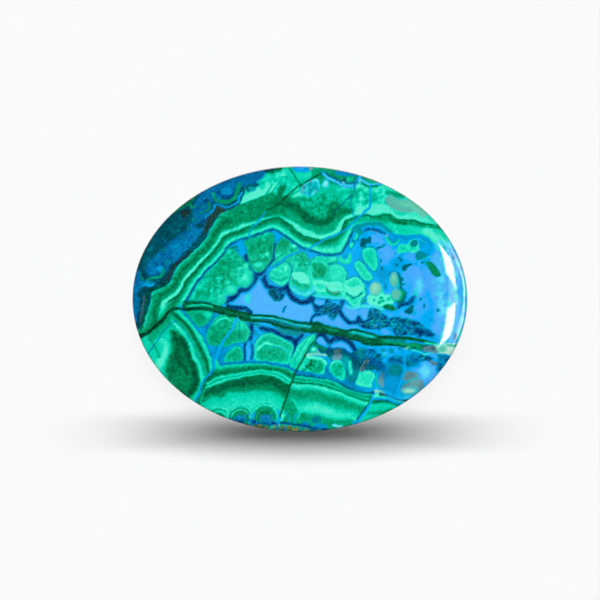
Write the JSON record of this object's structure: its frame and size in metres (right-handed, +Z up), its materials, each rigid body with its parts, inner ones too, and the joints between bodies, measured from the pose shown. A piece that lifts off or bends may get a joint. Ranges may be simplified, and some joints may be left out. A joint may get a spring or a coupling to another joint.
{
  "type": "chrysocolla cabochon",
  "caption": "Polished oval chrysocolla-malachite cabochon with a domed face, upright girdle, bevelled edge and flat lapped back to rest on or set into a mount.",
  "frame": {"origin": "middle of the flat back, on the surface that the stone rests on", "axes": "+X along the oval's long axis, +Y along its short axis, +Z up through the domed face"},
  "size_m": [0.038, 0.03, 0.006],
  "materials": {
    "polished_stone": "polished, banded malachite green, mint, chrysocolla blue and azurite blue, glossy dome and satin back"
  },
  "bodies": {
    "root": {"stone": "polished_stone"}
  },
  "joints": []
}
